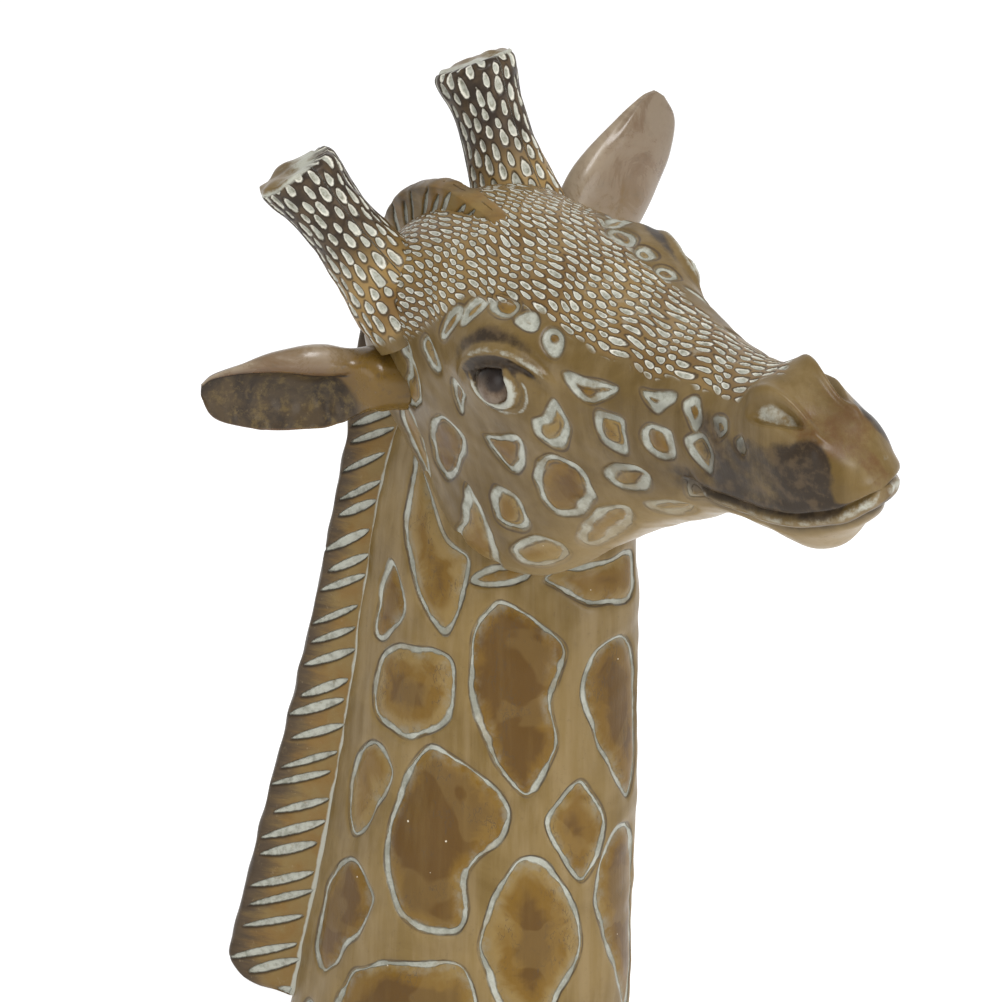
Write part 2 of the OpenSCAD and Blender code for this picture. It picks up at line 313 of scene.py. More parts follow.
class Shader:
    """A node material that is put together from short calls."""

    def __init__(self, name):
        self.material = bpy.data.materials.new(name)
        self.material.use_nodes = True
        self.tree = self.material.node_tree
        self.body = self.tree.nodes["Principled BSDF"]
        self.place = self.node("ShaderNodeTexCoord").outputs["Object"]

    def node(self, kind, **settings):
        n = self.tree.nodes.new(kind)
        for key, value in settings.items():
            setattr(n, key, value)
        return n

    def put(self, socket, value):
        if isinstance(value, bpy.types.NodeSocket):
            self.tree.links.new(value, socket)
        elif socket.type == "RGBA":
            socket.default_value = (*value, 1)
        else:
            socket.default_value = value

    def layer(self, name):
        return self.node("ShaderNodeAttribute", attribute_name=name).outputs["Fac"]

    def math(self, operation, a, b=0.0, c=0.0):
        n = self.node("ShaderNodeMath", operation=operation)
        for socket, value in zip(n.inputs, (a, b, c)):
            self.put(socket, value)
        return n.outputs[0]

    def times(self, a, b):
        return self.math("MULTIPLY", a, b)

    def plus(self, a, b):
        return self.math("ADD", a, b)

    def scaled(self, a, by, more):
        return self.math("MULTIPLY_ADD", a, by, more)

    def span(self, value, low, high, to_low=0.0, to_high=1.0):
        n = self.node("ShaderNodeMapRange", interpolation_type="SMOOTHSTEP")
        for socket, v in zip(n.inputs, (value, low, high, to_low, to_high)):
            self.put(socket, v)
        return n.outputs[0]

    def stretch(self, factors, turn=0.0):
        n = self.node("ShaderNodeMapping")
        self.put(n.inputs["Vector"], self.place)
        n.inputs["Scale"].default_value = factors
        n.inputs["Rotation"].default_value = (turn, 0, 0)
        return n.outputs[0]

    def noise(self, size, detail=3.0, rough=0.55, place=None, warp=0.0):
        """Noise with swells about `size` millimetres across."""
        n = self.node("ShaderNodeTexNoise")
        self.put(n.inputs["Vector"], place or self.place)
        n.inputs["Scale"].default_value = 1000 / size
        n.inputs["Detail"].default_value = detail
        n.inputs["Roughness"].default_value = rough
        n.inputs["Distortion"].default_value = warp
        return n.outputs["Fac"]

    def cells(self, size, feature="F1", place=None):
        n = self.node("ShaderNodeTexVoronoi", feature=feature)
        self.put(n.inputs["Vector"], place or self.place)
        n.inputs["Scale"].default_value = 1000 / size
        return n.outputs["Distance"]

    def mix(self, share, a, b):
        n = self.node("ShaderNodeMix", data_type="RGBA")
        self.put(n.inputs[0], share)
        self.put(n.inputs[6], a)
        self.put(n.inputs[7], b)
        return n.outputs[2]

    def relief(self, height, distance, strength=1.0, under=None):
        n = self.node("ShaderNodeBump")
        n.inputs["Strength"].default_value = strength
        n.inputs["Distance"].default_value = distance * MM
        self.put(n.inputs["Height"], height)
        if under:
            self.put(n.inputs["Normal"], under)
        return n.outputs["Normal"]

    def finish(self, colour, rough, normal, coat=0.04, coat_rough=0.2, shine=0.22):
        self.put(self.body.inputs["Base Color"], colour)
        self.put(self.body.inputs["Roughness"], rough)
        self.put(self.body.inputs["Normal"], normal)
        self.body.inputs["Specular IOR Level"].default_value = shine
        self.body.inputs["Coat Weight"].default_value = coat
        self.body.inputs["Coat Roughness"].default_value = coat_rough
        return self.material


# Linear colours of the finish
TAN, TAN_DEEP, TAN_PALE = (0.178, 0.117, 0.037), (0.12, 0.073, 0.015), (0.27, 0.20, 0.105)
HIDE, HIDE_DEEP = (0.125, 0.08, 0.024), (0.085, 0.051, 0.011)
AMBER, AMBER_DEEP, AMBER_PALE = (0.14, 0.073, 0.006), (0.085, 0.04, 0.003), (0.20, 0.13, 0.04)
WASH, WASH_DIM = (0.37, 0.375, 0.32), (0.21, 0.21, 0.17)
UMBER, UMBER_DEEP, RUST = (0.062, 0.04, 0.02), (0.02, 0.012, 0.006), (0.085, 0.036, 0.01)


def mark_distance(s):
    """The same as scale_cell, with nodes."""
    p, q = s.layer("mark_p"), s.layer("mark_q")
    j = s.math("FLOOR", q)
    odd = s.math("FLOORED_MODULO", j, 2.0)
    shifted = s.scaled(odd, 0.5, p)
    i = s.math("FLOOR", shifted)

    def wave(a, b, size):
        angle = s.scaled(i, a, s.times(j, b))
        return s.times(s.math("SINE", angle), size)

    x = s.plus(s.math("SUBTRACT", s.math("SUBTRACT", shifted, i), 0.5), wave(2.4, 5.1, 0.09))
    y = s.plus(s.math("SUBTRACT", s.math("SUBTRACT", q, j), 0.5), wave(4.7, 1.3, 0.08))
    size = s.plus(wave(3.1, -2.2, 0.16), 1.0)
    across = s.times(s.math("DIVIDE", y, MARK_WIDE), s.scaled(x, 0.6, 1.0))
    along = s.math("DIVIDE", x, MARK_LONG)
    squares = s.plus(s.times(along, along), s.times(across, across))
    return s.math("DIVIDE", s.math("SQRT", squares), size)


def coat_material(name, marked):
    """The tan coat with its carved spots; with `marked`, also the gouged marks of the brow and horns,
    on a browner coat with wider cuts round the spots."""
    s = Shader(name)
    edge, spot = s.layer("edge"), s.layer("spot")
    tan, tan_deep, pale_share = (HIDE, HIDE_DEEP, 0.2) if marked else (TAN, TAN_DEEP, 0.4)
    grain = s.noise(60, 4, 0.6, s.stretch((9, 9, 0.8)))
    base = s.mix(s.span(s.noise(38, 4, 0.6, warp=0.4), 0.38, 0.66), tan, tan_deep)
    base = s.mix(s.span(grain, 0.35, 0.7, 0, pale_share), base, TAN_PALE)

    # Inside a spot: an amber glaze, deepest in the middle, with paler lobes and thin cracks
    deep = s.scaled(spot, 9.0, s.times(edge, -1.0))
    deep = s.plus(deep, s.scaled(s.noise(14, 3, 0.6, warp=0.8), 16.0, -11.0))
    glaze = s.mix(s.span(deep, 2.0, 6.5), AMBER_PALE, AMBER)
    glaze = s.mix(s.span(deep, 7.0, 12.0), glaze, AMBER_DEEP)
    glaze = s.mix(s.span(s.noise(24, 2, 0.5, warp=0.6), 0.54, 0.58, 0, 0.25), glaze, AMBER_PALE)
    drift = s.node("ShaderNodeTexNoise")
    drift.inputs["Scale"].default_value = 70
    drifted = s.node("ShaderNodeVectorMath", operation="MULTIPLY_ADD")
    s.put(drifted.inputs[0], drift.outputs["Color"])
    s.put(drifted.inputs[1], (0.016, 0.016, 0.016))
    s.put(drifted.inputs[2], s.stretch((1.3, 1.3, 0.8)))
    crack = s.span(s.cells(17, "DISTANCE_TO_EDGE", drifted.outputs[0]), 0.028, 0.0)
    crack = s.times(crack, s.span(s.noise(12), 0.42, 0.6, 0, 0.7))
    glaze = s.mix(crack, glaze, UMBER)
    glaze = s.mix(s.span(grain, 0.45, 0.8, 0, 0.25), glaze, AMBER_PALE)
    colour = s.mix(s.span(edge, -0.8, -2.2), base, glaze)

    # The cut round a spot: pale wash of uneven width that bleeds inwards, between dark lines
    if marked:
        narrow, wide, middle, line_at, faint, strong, patches = 0.8, 1.9, 1.6, 0.55, 0.4, 0.95, 7
    else:
        narrow, wide, middle, line_at, faint, strong, patches = 0.4, 1.5, 1.1, 0.2, 0.2, 0.8, 12
    uneven = s.noise(9, 3, 0.6)
    wobble = s.plus(edge, s.scaled(uneven, 1.2, -0.6))
    width = s.span(s.noise(13, 3), 0.35, 0.65, narrow, wide)
    off = s.math("ABSOLUTE", s.plus(wobble, middle))
    band = s.span(s.math("DIVIDE", off, width), 1.15, 0.55)
    bleed = s.times(s.span(edge, -6.0, -1.0), s.span(edge, 0.2, -0.4))
    bleed = s.times(bleed, s.span(s.noise(7, 4, 0.7), 0.42, 0.68, 0, 0.6))
    colour = s.mix(bleed, colour, WASH_DIM)
    worn = s.span(s.noise(14, 3, 0.6), 0.3, 0.5, 0.6, 1)
    pale = s.mix(s.span(s.noise(patches, 5, 0.7), 0.38, 0.66), WASH_DIM, WASH)
    colour = s.mix(s.times(band, worn), colour, pale)
    outer = s.math("SUBTRACT", s.scaled(uneven, 0.5, edge), line_at)
    outer = s.span(s.math("ABSOLUTE", outer), 0.5, 0.1)
    outer = s.times(outer, s.span(s.noise(11, 3), 0.35, 0.6, faint, strong))
    colour = s.mix(outer, colour, UMBER)
    if marked:
        inner = s.span(s.math("ABSOLUTE", s.plus(wobble, 3.5)), 0.5, 0.1)
        inner = s.times(inner, s.span(s.noise(8, 3), 0.4, 0.6, 0, 0.8))
        colour = s.mix(inner, colour, UMBER)
    height = s.times(band, -1.0)

    if marked:
        zone = s.layer("zone")
        ground = s.mix(s.span(s.noise(24, 3), 0.35, 0.65), (0.25, 0.16, 0.055), (0.15, 0.082, 0.02))
        umber = s.mix(s.span(s.noise(6, 3), 0.35, 0.65), UMBER_DEEP, UMBER)
        ground = s.mix(s.layer("dark"), ground, umber)
        far = s.plus(mark_distance(s), s.scaled(s.noise(2.2, 3), 0.5, -0.2))
        colour = s.mix(s.times(zone, s.span(far, 0.85, 1.0)), colour, ground)
        halo = s.times(s.span(far, 0.86, 1.0), s.span(far, 1.3, 1.08))
        halo = s.times(s.times(zone, halo), 0.7)
        colour = s.mix(halo, colour, UMBER_DEEP)
        inside = s.times(zone, s.span(far, 1.0, 0.84))
        grey = s.mix(s.span(s.noise(3, 4, 0.7), 0.35, 0.6), (0.19, 0.185, 0.14), WASH)
        # Painted highlight: a pale rim inside each gouged mark
        rim = s.times(s.span(far, 0.5, 0.78), s.span(s.noise(5, 3), 0.35, 0.55, 0.35, 1))
        colour = s.mix(inside, colour, s.mix(rim, grey, (0.58, 0.56, 0.48)))
        rust = s.plus(s.layer("rust"), s.scaled(s.noise(8, 5, 0.75), 1.6, -0.8))
        colour = s.mix(s.span(rust, 0.2, 0.9, 0, 0.8), colour, RUST)
        height = s.scaled(inside, -1.0, height)

    # Dark antiquing and painted shade at the eyes, wash left in creases and a painted highlight on the
    # lower lip, painted bounce light on undersides, specks and small pale chips
    smudge = s.plus(s.layer("shade"), s.scaled(s.noise(7, 5, 0.7), 0.9, -0.45))
    umber = s.mix(s.span(s.noise(5, 4), 0.45, 0.68), UMBER_DEEP, UMBER)
    colour = s.mix(s.span(smudge, 0.35, 0.9, 0, 0.95), colour, umber)
    left = s.plus(s.layer("wash"), s.scaled(s.noise(5, 4, 0.7), 0.8, -0.4))
    colour = s.mix(s.span(left, 0.4, 0.75, 0, 0.9), colour, WASH)
    # Painted bounce light: surfaces facing down are made paler
    colour = s.mix(s.times(s.layer("under"), 0.7), colour, TAN_PALE)
    colour = s.mix(s.span(s.noise(2.5, 5, 0.8), 0.56, 0.74, 0, 0.4), colour, UMBER)
    chip = s.plus(s.cells(12), s.scaled(s.noise(1.5, 3), 0.14, -0.04))
    chip = s.times(s.span(chip, 0.055, 0.04), s.span(edge, 1.0, -0.5))
    colour = s.mix(chip, colour, (0.6, 0.54, 0.42))

    normal = s.relief(height, 0.5)
    normal = s.relief(s.noise(50, 4, 0.7, s.stretch((14, 14, 1))), 0.25, 0.5, normal)
    normal = s.relief(s.noise(1.6, 3, 0.6), 0.08, 0.6, normal)
    rough = s.span(s.noise(20, 4), 0.3, 0.7, 0.3, 0.5)
    return s.finish(colour, rough, normal)


def fin_material(name):
    """The mane and crest: ochre towards the root and umber outside, with pale tapering cuts."""
    s = Shader(name)
    out, cut, thick = s.layer("out"), s.layer("cut"), s.layer("thick")
    streak = s.noise(22, 5, 0.7, s.stretch((1, 1, 6), 0.35))
    tone = s.plus(out, s.scaled(streak, 0.9, -0.45))
    colour = s.mix(s.span(s.noise(9, 4), 0.35, 0.65), TAN, (0.17, 0.095, 0.022))
    colour = s.mix(s.span(tone, 0.4, 0.9), colour, UMBER)
    colour = s.mix(s.span(tone, 0.8, 1.2, 0, 0.75), colour, UMBER_DEEP)
    colour = s.mix(s.span(s.noise(2.5, 5, 0.8), 0.58, 0.75, 0, 0.6), colour, TAN_PALE)
    # cut is the distance from a cut's middle line in millimetres, thick its half thickness there
    rough_edge = s.scaled(s.noise(3, 4, 0.7), 0.7, -0.35)
    off = s.math("SUBTRACT", cut, s.plus(thick, rough_edge))
    # Painted shade: a dark band along the lower side of each cut
    under = s.times(s.layer("below"), s.span(off, 1.1, 0.1, 0, 0.8))
    colour = s.mix(under, colour, UMBER_DEEP)
    inside = s.span(off, 0.1, -0.45)
    pale = s.mix(s.span(s.noise(3, 4, 0.7), 0.3, 0.6), WASH_DIM, WASH)
    worn = s.span(s.noise(4, 4, 0.7), 0.25, 0.45, 0.5, 1)
    colour = s.mix(s.times(inside, worn), colour, pale)
    seam = s.plus(s.layer("seam"), s.scaled(s.noise(8, 3), 2.0, -1.0))
    colour = s.mix(s.span(seam, 0.4, -0.4, 0, 0.85), colour, WASH)
    normal = s.relief(s.times(inside, -1.0), 0.6)
    normal = s.relief(streak, 0.3, 0.6, normal)
    normal = s.relief(s.noise(1.4, 3), 0.08, 0.6, normal)
    rough = s.span(s.noise(12), 0.3, 0.7, 0.35, 0.55)
    return s.finish(colour, rough, normal, coat=0.06, coat_rough=0.25)


def ear_material(name):
    """The ears: ochre at the root, browner towards the tip, with a dull painted highlight and painted
    shade under the rolled top; dark in the hollow.
    """
    s = Shader(name)
    inner, along = s.layer("inner"), s.layer("along")
    patchy = s.noise(16, 5, 0.7, warp=0.6)
    tone = s.plus(along, s.scaled(patchy, 1.0, -0.5))
    back = s.mix(s.span(tone, 0.2, 0.6), (0.125, 0.07, 0.011), (0.095, 0.05, 0.022))
    back = s.mix(s.span(tone, 0.6, 1.1, 0, 0.8), back, (0.06, 0.038, 0.024))
    back = s.mix(s.span(s.noise(4, 5, 0.75), 0.52, 0.66, 0, 0.5), back, UMBER)
    # Painted highlight: a pale streak along the back, and the far ear painted lighter over most of its
    # length
    painted_sheen = s.times(s.layer("painted_sheen"), s.span(patchy, 0.3, 0.6, 0.3, 0.95))
    back = s.mix(painted_sheen, back, (0.27, 0.215, 0.15))
    hollow = s.mix(s.span(patchy, 0.38, 0.62), (0.05, 0.031, 0.012), UMBER_DEEP)
    hollow = s.mix(s.span(s.noise(5, 5, 0.75), 0.48, 0.66, 0, 0.8), hollow, (0.105, 0.07, 0.022))
    colour = s.mix(inner, back, hollow)
    scuff = s.noise(3, 5, 0.75, s.stretch((1, 3, 3)))
    colour = s.mix(s.span(scuff, 0.6, 0.75, 0, 0.4), colour, TAN_PALE)
    # Painted shade: a dark line under the rolled top
    colour = s.mix(s.span(s.layer("crease"), 0.3, 0.9), colour, UMBER_DEEP)
    normal = s.relief(s.noise(10, 4, 0.6), 0.35, 0.5)
    normal = s.relief(s.noise(1.2, 3), 0.06, 0.6, normal)
    rough = s.scaled(inner, 0.2, s.span(patchy, 0.3, 0.7, 0.2, 0.38))
    return s.finish(colour, rough, normal, coat=0.12, coat_rough=0.14, shine=0.25)


def eye_material(name):
    """The eyeballs: a brown iris, dark at the top and at its edge."""
    s = Shader(name)
    ring, high = s.layer("ring"), s.layer("high")
    iris = s.mix(s.span(s.noise(4, 4, 0.7), 0.35, 0.65), (0.085, 0.05, 0.025), (0.15, 0.11, 0.075))
    colour = s.mix(s.span(high, 0.1, 0.7), iris, (0.012, 0.007, 0.004))
    smudge = s.plus(ring, s.scaled(s.noise(5, 3), 0.3, -0.15))
    colour = s.mix(s.span(smudge, 0.42, 0.2, 0, 0.9), colour, (0.012, 0.007, 0.005))
    colour = s.mix(s.span(smudge, 0.72, 0.95), colour, (0.11, 0.10, 0.08))
    normal = s.relief(s.noise(2, 3), 0.05, 0.5)
    return s.finish(colour, s.span(s.noise(6), 0.3, 0.7, 0.25, 0.4), normal, coat=0.06, coat_rough=0.15)


def wood_material(name):
    """Bare turned wood of the hidden pegs."""
    s = Shader(name)
    grain = s.noise(30, 4, 0.6, s.stretch((1, 1, 8)))
    colour = s.mix(s.span(grain, 0.3, 0.7), (0.55, 0.40, 0.22), (0.42, 0.27, 0.13))
    return s.finish(colour, 0.6, s.relief(grain, 0.15), coat=0)


def felt_material(name):
    s = Shader(name)
    fuzz = s.noise(0.7, 4, 0.8)
    colour = s.mix(s.span(fuzz, 0.3, 0.7), (0.03, 0.03, 0.028), (0.075, 0.07, 0.065))
    s.body.inputs["Sheen Weight"].default_value = 0.5
    return s.finish(colour, 0.95, s.relief(fuzz, 0.3), coat=0)


# ---- Neck ----

# Spots of the neck's right side: outline, distance round from the middle of the throat, height,
# width, height of the spot and lean
RIGHT_NECK = [
    ("kidney", -54, 175, 36, 70, 0),
    ("leaf", -15, 163, 32, 62, 0),
    ("five", -96, 173, 40, 34, 0),
    ("bulged", -80, 122, 49, 68, 0),
    ("diamond", -32, 125, 24, 38, 0),
    ("drop", -48, 83, 38, 70, 0),
    ("leaf", -8, 86, 32, 74, 0),
    ("slim", -115, 134, 26, 38, 0),
    ("slim", -126, 85, 34, 46, 0),
    ("five", -97, 52, 60, 50, 0),
    ("wedge", -84, 226, 30, 60, 0),
    ("point", -107, 203, 18, 30, 0),
    ("block", -21, 214, 44, 18, 0),
    ("kidney", -29, 28, 34, 38, 60),
    ("five", -66, 18, 36, 26, 5),
    ("bulged", -142, 34, 26, 34, 0),
    ("oval", -58, 219, 24, 8, 15),
]
# The left side has the same spots turned over and a little higher, but not those within this
# distance of the throat's middle, and this one of its own
NOT_MIRRORED = 12
LEFT_NECK = [("leaf", 22, 96, 21, 56, 180)]


def neck_grid(rows=300, cols=330):
    """Points of the neck, and for each its distance round from the middle of the throat."""
    sides = through(NECK, np.linspace(NECK[0][0], NECK[-1][0], rows))
    turn = np.radians(90 + np.linspace(0, 360, 720, endpoint=False))
    points, around = [], []
    for z, front, back, half in sides:
        wedge = 1 - REAR_WEDGE * np.maximum(np.sin(turn), 0) ** 2
        ring = np.stack([
            half * wedge * power(np.cos(turn), 0.92),
            (front + back) / 2 + (back - front) / 2 * power(np.sin(turn), 0.95),
            np.full(turn.shape, z),
        ], -1)
        ring, at, whole = even_ring(ring, cols)
        points.append(ring)
        around.append(at - whole / 2)
    return np.array(points), np.array(around)


def make_neck(material):
    p, around = neck_grid()
    sides = [spot for spot in RIGHT_NECK if spot[1] < -NOT_MIRRORED]
    left = [(k, 5 - x, z + 7, w, h, 180 - lean) for k, x, z, w, h, lean in sides]
    flat = np.stack([around, p[..., 2]], -1)
    flat = flat + 0.7 * np.stack([ripple(p, 16, 3), ripple(p, 16, 4)], -1)
    edge, spot = edge_distance(flat, RIGHT_NECK + left + LEFT_NECK)
    n = normals(p)
    high = groove(edge) + 0.35 * ripple(p, 30, 5) + 0.12 * ripple(p, 9, 6)
    foot = step(p[..., 2], 8, 2)
    high = high - 1.5 * foot
    p = p + n * high[..., None]
    # The under layer is painted bounce light on surfaces facing down
    layers = {
        "edge": edge, "spot": spot, "shade": 0.125 * ripple(p, 60, 7) + 0.3 * foot,
        "wash": np.zeros(edge.shape), "under": step(-n[..., 2], 0.15, 0.7),
    }
    grid_piece("neck_block", p, layers, material, "neck")


# ---- Head ----

# Soft swells and hollows, mirrored: ahead, left, up, their spreads, and height
SWELLS = [
    (60, 36, 32, 16, 9, 8, 5.5),
    (68, 42, 17, 16, 11, 13, 3.5),
    (36, 40, -45, 22, 12, 18, 1.5),
    (172, 8, 27, 8, 6, 7, 6.5),
    (92, 30, 12, 14, 9, 7, -1.8),
    (188, 12, 2, 9, 9, 8, 1.5),
    (177, 0, -27, 13, 9, 6, 6.5),
    (193, 9, 14, 4, 4, 6, 2.0),
    (4, 30, 36, 15, 12, 9, 5.0),
    (18, 34, -55, 20, 14, 14, 6.0),
]

# Spots of the right cheek: outline, ahead, distance round from the crown, width, height and lean
RIGHT_CHEEK = [
    ("slim", 28, -95, 24, 29, 0),
    ("three", 61, -79, 21, 20, 0),
    ("bean", 85, -55, 14, 23, 0),
    ("oval", 80, -85, 18, 38, -30),
    ("oval", 51, -109, 15, 20, -20),
    ("oval", 55, -128, 15, 26, -50),
    ("oval", 87, -101, 10, 50, -36),
    ("five", 109, -44, 13, 15, 0),
    ("five", 128, -38, 14, 14, 0),
    ("oval", 110, -62, 11, 24, -52),
    ("diamond", 146, -34, 12, 16, 0),
    ("three", 101, -32, 20, 12, 0),
    ("bean", 28, -128, 22, 42, 0),
    ("three", 127, -23, 15, 9, 0),
    ("diamond", 142, -22, 9, 11, 0),
    ("diamond", 155, -22, 8, 10, -20),
    ("diamond", 165, -26, 5, 6, 0),
    ("point", 136, -55, 11, 12, 0),
    ("oval", 120, -72, 9, 22, -60),
    ("oval", 62, -26, 13, 9, 10),
    ("oval", 73, -26, 8, 7, 0),
    ("oval", 84, -26, 9, 9, 0),
    ("oval", 44, -40, 7, 15, -30),
    ("oval", 52, -32, 7, 13, -20),
    ("slim", 44, -67, 9, 16, 0),
    ("bean", 14, -71, 14, 24, 0),
    ("oval", 32, -56, 9, 14, 20),
    ("oval", 16, -59, 7, 8, 0),
    ("leaf", 2, -97, 16, 36, 0),
]


# Middle of an eye's opening, ahead and round from the crown, and its turn off the head's length
EYE_AHEAD, EYE_AROUND, EYE_TURN = 68, 49, 26

# Height of the mouth's line: ahead, up
MOUTH = [(138, -8.5), (150, -10), (170, -9.5), (185, -8), (200, -4.5), (208, -1)]

# Lower edge of the gouged marks: ahead, distance round from the crown
MARKS_END = [
    (-37, 40), (-10, 50), (10, 54), (26, 50), (36, 42), (46, 30), (62, 23), (104, 18), (141, 14),
    (164, 9), (174, -4),
]
# Size of a gouged mark's cell: ahead, length or width
MARK_LENGTH = [(0, 5.0), (40, 5.6), (80, 6.4), (160, 7.0)]
MARK_BREADTH = [(0, 2.4), (40, 2.7), (80, 3.1), (160, 3.3)]


def eye_frame(ahead, around):
    """Places along and across an eye's opening, from its middle."""
    c, s = math.cos(math.radians(EYE_TURN)), math.sin(math.radians(EYE_TURN))
    x, y = ahead - EYE_AHEAD, EYE_AROUND - around
    return x * c + y * s, y * c - x * s


def head_grid(rows=330, cols=340):
    """Points of the head in its own frame, and for each its distance round from the crown."""
    ahead = np.linspace(HEAD[0][0], HEAD[-1][0], 900)
    turn = np.radians(-90 - np.linspace(0, 360, 720, endpoint=False))
    rings, around = [], []
    for f, top, bottom, half, wide_at, square in through(HEAD, ahead):
        reach = np.where(np.sin(turn) > 0, top - wide_at, wide_at - bottom)
        plump = np.where(np.sin(turn) > 0, 0.9, square)
        ring = np.stack([
            np.full(turn.shape, f),
            half * power(np.cos(turn), plump),
            wide_at + reach * power(np.sin(turn), 0.9),
        ], -1)
        ring, at, whole = even_ring(ring, cols)
        rings.append(ring)
        around.append(at - whole / 2)
    both = np.concatenate([np.array(rings), np.array(around)[..., None]], -1)
    both = even_rows(both[::-1], rows)
    return both[..., :3], both[..., 3]


def make_head(material):
    p, around = head_grid()
    n = normals(p)
    f, side, u = p[..., 0], p[..., 1], p[..., 2]
    away = np.abs(around)
    high = 0.3 * ripple(p, 26, 11) + 0.1 * ripple(p, 8, 12)
    for f0, l0, u0, df, dl, du, tall in SWELLS:
        for way in ((1, -1) if l0 else (1,)):
            swell = bump((f - f0) / df) * bump((side - way * l0) / dl) * bump((u - u0) / du)
            high = high + tall * swell

    # Mouth: a cut from the corner to the front, a lip below it and a fold under that
    above = u - between(MOUTH, f)
    near = step(f, 136, 143)
    high = high - 2.4 * near * bump(above / 0.8) + 0.9 * near * bump((above - 3) / 2)
    high = high + 1.3 * near * step(f, 208, 196) * bump((above + 3) / 1.8)
    high = high - 2.0 * near * bump((above + 7.5) / 1.0)
    # Painted highlight: a pale band along the lower lip's ridge
    painted_lip_highlight = near * bump((above + 2.6) / 1.5)
    mouth = near * (bump((above - 0.5) / 1.6) + bump((above + 6.6) / 1.9))
    corner = bump((f - 138) / 2.5) * bump((u + 10) / 5)
    high = high - 1.2 * corner

    # Nostrils: comma-shaped hollows on the outer side of each mound
    comma = np.hypot((f - 177.5) / 10, (away - 11.5 + 0.25 * (f - 177)) / (4.4 - 0.13 * (f - 172)))
    nostril = step(comma, 1.05, 0.55)
    high = high - 4.0 * nostril + 1.2 * bump((comma - 1.3) / 0.2) * step(away, 12, 8)

    # Eyes: an almond opening with lids, a crease above it and a thick fold above that
    across, up = eye_frame(f, away)
    upper, fold = 4.6 * (1 - (across / 17) ** 2), 9.2 * (1 - ((across - 2) / 23) ** 2)
    rim = 5.6 * (np.hypot((across + 1.2) / 6.8, np.minimum(up, 0) / 5.0) - 1)
    rim = np.maximum(up - upper, rim)
    under_eye = step(up, upper, upper - 3)
    opening = step(rim, 0.4, -0.5)
    lid = bump((rim - 1.6) / 1.1) * (0.35 + 0.65 * under_eye)
    crease = bump((up - upper - 2.2) / 0.9) * step(np.abs(across - 1), 19, 13) * (1 - opening)
    folded = bump((up - fold) / 1.3) * step(np.abs(across - 2), 24, 17)
    duct = bump((across - 17.5) / 1.6) * bump((up + 1.5) / 1.1)
    high = high - 5.0 * opening + 1.9 * lid - 1.6 * crease + 1.8 * folded - 1.0 * duct
    high = high - 0.9 * bump((rim - 3.9) / 0.9) * under_eye * step(np.abs(across), 20, 12)

    # Gouged marks over the brow and along the nose
    end = between(MARKS_END, f)
    zone = step(away - end - 1.5 * ripple(p, 12, 13), 1.5, -1.5)
    length = between(MARK_LENGTH, f[:, 0])
    passed = np.cumsum(-np.diff(f[:, 0]) / ((length[1:] + length[:-1]) / 2))
    mark_p = np.concatenate([[0], passed])[:, None] + 0.3 * ripple(p, 22, 14)
    mark_q = around / between(MARK_BREADTH, f) + 0.25 * ripple(p, 18, 15) + 100
    high = high + pits(mark_p, mark_q, zone, 0.7)

    # Spots, none of them on the lids
    left = [(k, x + 2, -g - 1, w, h, 180 - lean) for k, x, g, w, h, lean in RIGHT_CHEEK]
    flat = np.stack([f, around], -1) + 0.5 * np.stack([ripple(p, 11, 16), ripple(p, 11, 17)], -1)
    edge, spot = edge_distance(flat, RIGHT_CHEEK + left)
    edge = np.where(np.clip(opening + lid + crease + folded, 0, 1) > 0.3, 20, edge)
    high = high + groove(edge)

    # Where the finish is darker or paler, with painted shade over the upper lids and round the eyes'
    # openings and a painted highlight on the lower lip
    over_mouth = step(above, -1, 2)
    muzzle = step(f - 0.5 * u, 140, 166) * step(u, 20, 13) * over_mouth * step(away, 9, 14)
    darkest = bump((f - 192) / 6.5) * step(u, 22, 14) * over_mouth * step(away, 7, 11)
    pale = bump((f - 205) / 4.5) * bump((u - 4) / 6.5) * step(np.abs(side), 2, 5)
    brow_dark = bump((up - fold - 4.0) / 2.4) * bump((across - 1) / 15)
    socket = bump((up - (upper + fold) / 2) / 1.8) * step(np.abs(across - 1), 17, 11)
    cheek = step(away, end + 2, end + 12) * step(f, 70, 110) * step(f, 175, 150)
    # The socket, crease and opening-ring terms of shade are painted shade cast by the fold and lids
    shade = (
        0.7 * muzzle + 0.9 * darkest + 1.0 * brow_dark - 1.5 * pale + 0.9 * crease - 0.8 * folded
        + 0.5 * socket + 0.65 * cheek * (0.5 + 0.5 * ripple(p, 22, 19)) + 0.12 * ripple(p, 40, 18)
        + 0.8 * bump((rim - 0.2) / 0.5) + 0.6 * bump((rim - 3.6) / 0.6) + 1.1 * mouth
        + 0.6 * corner + 0.5 * bump((f - 193) / 4) * bump((u - 2) / 9) - nostril
    )
    wash = (
        0.85 * lid + 0.5 * painted_lip_highlight + 0.5 * nostril + 0.55 * folded - 0.8 * crease + 0.38 * pale
        - 0.5 * muzzle * (1 - painted_lip_highlight) + 0.4 * bump(around / 17) * step(f, 40, 90) * step(f, 180, 160)
        + 0.6 * bump((rim - 5.2) / 0.7) * under_eye * step(np.abs(across), 18, 12)
    )
    # Surfaces facing down get painted bounce light through the under layer
    down = -(n @ HEAD_AXES.T)[..., 2]
    layers = {
        "edge": edge, "spot": spot, "shade": shade, "wash": wash, "zone": zone,
        "mark_p": mark_p, "mark_q": mark_q, "dark": np.full(f.shape, 0.25),
        "under": step(down, 0.45, 0.9) * (1 - np.clip(mouth, 0, 1)),
        "rust": 0.6 * step(f, 170, 192) * step(away, 24, 4) - 0.7 * pale,
    }
    grid_piece("head_block", to_row(p + n * high[..., None]), layers, material, "head")


# ---- Horns ----

HORN_AT = (1, 29, 31)
HORN_LEAN, HORN_SPLAY = 23, 13
